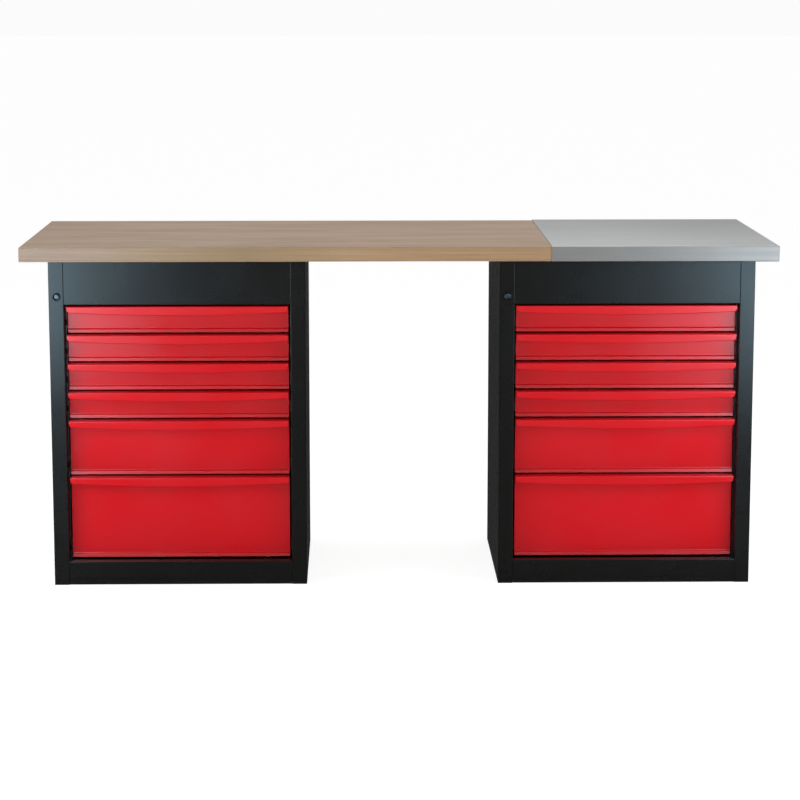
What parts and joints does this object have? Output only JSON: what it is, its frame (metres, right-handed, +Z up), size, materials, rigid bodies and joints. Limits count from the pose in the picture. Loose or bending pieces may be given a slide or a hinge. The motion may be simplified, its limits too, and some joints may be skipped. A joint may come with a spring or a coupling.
{
  "type": "workbench with drawers",
  "caption": "Workbench: laminated wood worktop with a sheet-steel cover over one end, on steel drawer cabinets with sliding drawers, hooked grip lips and central locks.",
  "frame": {"origin": "on the floor, under the middle of the worktop", "axes": "+X along the worktop towards the steel-covered end, +Y from the drawer fronts to the back, +Z up"},
  "size_m": [2, 0.75, 0.92],
  "materials": {
    "laminated_wood": "oiled, satin",
    "brushed_steel": "fine brushed",
    "anthracite_paint": "satin powder coat",
    "red_paint": "gloss powder coat",
    "tray_paint": "satin powder coat",
    "zinc_steel": "zinc plated",
    "lock_metal": "dull nickel plated"
  },
  "bodies": {
    "root": {"wood_worktop": "laminated_wood", "steel_cover": "brushed_steel", "left_cabinet_left_side": "anthracite_paint", "left_cabinet_right_side": "anthracite_paint", "left_cabinet_top_fascia": "anthracite_paint", "left_cabinet_front_rail": "anthracite_paint", "left_cabinet_base_pan": "anthracite_paint", "left_cabinet_back_panel": "anthracite_paint", "left_cabinet_top_plate": "anthracite_paint", "left_cabinet_left_runners": "zinc_steel", "left_cabinet_right_runners": "zinc_steel", "left_lock_housing": "lock_metal", "left_worktop_bolt_1": "zinc_steel", "left_worktop_bolt_2": "zinc_steel", "left_worktop_bolt_3": "zinc_steel", "left_worktop_bolt_4": "zinc_steel", "right_cabinet_left_side": "anthracite_paint", "right_cabinet_right_side": "anthracite_paint", "right_cabinet_top_fascia": "anthracite_paint", "right_cabinet_front_rail": "anthracite_paint", "right_cabinet_base_pan": "anthracite_paint", "right_cabinet_back_panel": "anthracite_paint", "right_cabinet_top_plate": "anthracite_paint", "right_cabinet_left_runners": "zinc_steel", "right_cabinet_right_runners": "zinc_steel", "right_lock_housing": "lock_metal", "right_worktop_bolt_1": "zinc_steel", "right_worktop_bolt_2": "zinc_steel", "right_worktop_bolt_3": "zinc_steel", "right_worktop_bolt_4": "zinc_steel"},
    "left_lock_core": {"left_lock_plug": "lock_metal", "left_lock_cam": "zinc_steel"},
    "left_lock_rod": {"left_lock_bar": "zinc_steel"},
    "left_drawer_1": {"left_drawer_1_front": "red_paint", "left_drawer_1_box": "tray_paint"},
    "left_drawer_2": {"left_drawer_2_front": "red_paint", "left_drawer_2_box": "tray_paint"},
    "left_drawer_3": {"left_drawer_3_front": "red_paint", "left_drawer_3_box": "tray_paint"},
    "left_drawer_4": {"left_drawer_4_front": "red_paint", "left_drawer_4_box": "tray_paint"},
    "left_drawer_5": {"left_drawer_5_front": "red_paint", "left_drawer_5_box": "tray_paint"},
    "left_drawer_6": {"left_drawer_6_front": "red_paint", "left_drawer_6_box": "tray_paint"},
    "right_lock_core": {"right_lock_plug": "lock_metal", "right_lock_cam": "zinc_steel"},
    "right_lock_rod": {"right_lock_bar": "zinc_steel"},
    "right_drawer_1": {"right_drawer_1_front": "red_paint", "right_drawer_1_box": "tray_paint"},
    "right_drawer_2": {"right_drawer_2_front": "red_paint", "right_drawer_2_box": "tray_paint"},
    "right_drawer_3": {"right_drawer_3_front": "red_paint", "right_drawer_3_box": "tray_paint"},
    "right_drawer_4": {"right_drawer_4_front": "red_paint", "right_drawer_4_box": "tray_paint"},
    "right_drawer_5": {"right_drawer_5_front": "red_paint", "right_drawer_5_box": "tray_paint"},
    "right_drawer_6": {"right_drawer_6_front": "red_paint", "right_drawer_6_box": "tray_paint"}
  },
  "joints": [
    {"name": "left_lock_turn", "type": "hinge", "parent": "root", "child": "left_lock_core", "pos_m": [-0.9085, -0.325, 0.7825], "axis": [0, -1, 0], "range_deg": [0, 90]},
    {"name": "left_lock_lift", "type": "slide", "parent": "root", "child": "left_lock_rod", "axis": [0, 0, 1], "range_m": [0, 0.01]},
    {"name": "left_drawer_1_slide", "type": "slide", "parent": "root", "child": "left_drawer_1", "axis": [0, -1, 0], "range_m": [0, 0.4]},
    {"name": "left_drawer_2_slide", "type": "slide", "parent": "root", "child": "left_drawer_2", "axis": [0, -1, 0], "range_m": [0, 0.4]},
    {"name": "left_drawer_3_slide", "type": "slide", "parent": "root", "child": "left_drawer_3", "axis": [0, -1, 0], "range_m": [0, 0.4]},
    {"name": "left_drawer_4_slide", "type": "slide", "parent": "root", "child": "left_drawer_4", "axis": [0, -1, 0], "range_m": [0, 0.4]},
    {"name": "left_drawer_5_slide", "type": "slide", "parent": "root", "child": "left_drawer_5", "axis": [0, -1, 0], "range_m": [0, 0.4]},
    {"name": "left_drawer_6_slide", "type": "slide", "parent": "root", "child": "left_drawer_6", "axis": [0, -1, 0], "range_m": [0, 0.4]},
    {"name": "right_lock_turn", "type": "hinge", "parent": "root", "child": "right_lock_core", "pos_m": [0.2875, -0.325, 0.7825], "axis": [0, -1, 0], "range_deg": [0, 90]},
    {"name": "right_lock_lift", "type": "slide", "parent": "root", "child": "right_lock_rod", "axis": [0, 0, 1], "range_m": [0, 0.01]},
    {"name": "right_drawer_1_slide", "type": "slide", "parent": "root", "child": "right_drawer_1", "axis": [0, -1, 0], "range_m": [0, 0.4]},
    {"name": "right_drawer_2_slide", "type": "slide", "parent": "root", "child": "right_drawer_2", "axis": [0, -1, 0], "range_m": [0, 0.4]},
    {"name": "right_drawer_3_slide", "type": "slide", "parent": "root", "child": "right_drawer_3", "axis": [0, -1, 0], "range_m": [0, 0.4]},
    {"name": "right_drawer_4_slide", "type": "slide", "parent": "root", "child": "right_drawer_4", "axis": [0, -1, 0], "range_m": [0, 0.4]},
    {"name": "right_drawer_5_slide", "type": "slide", "parent": "root", "child": "right_drawer_5", "axis": [0, -1, 0], "range_m": [0, 0.4]},
    {"name": "right_drawer_6_slide", "type": "slide", "parent": "root", "child": "right_drawer_6", "axis": [0, -1, 0], "range_m": [0, 0.4]}
  ],
  "couplings": [
    {"joint": "left_lock_turn", "follows": "left_lock_lift", "rad_per_m": 157.08},
    {"joint": "right_lock_turn", "follows": "right_lock_lift", "rad_per_m": 157.08}
  ]
}
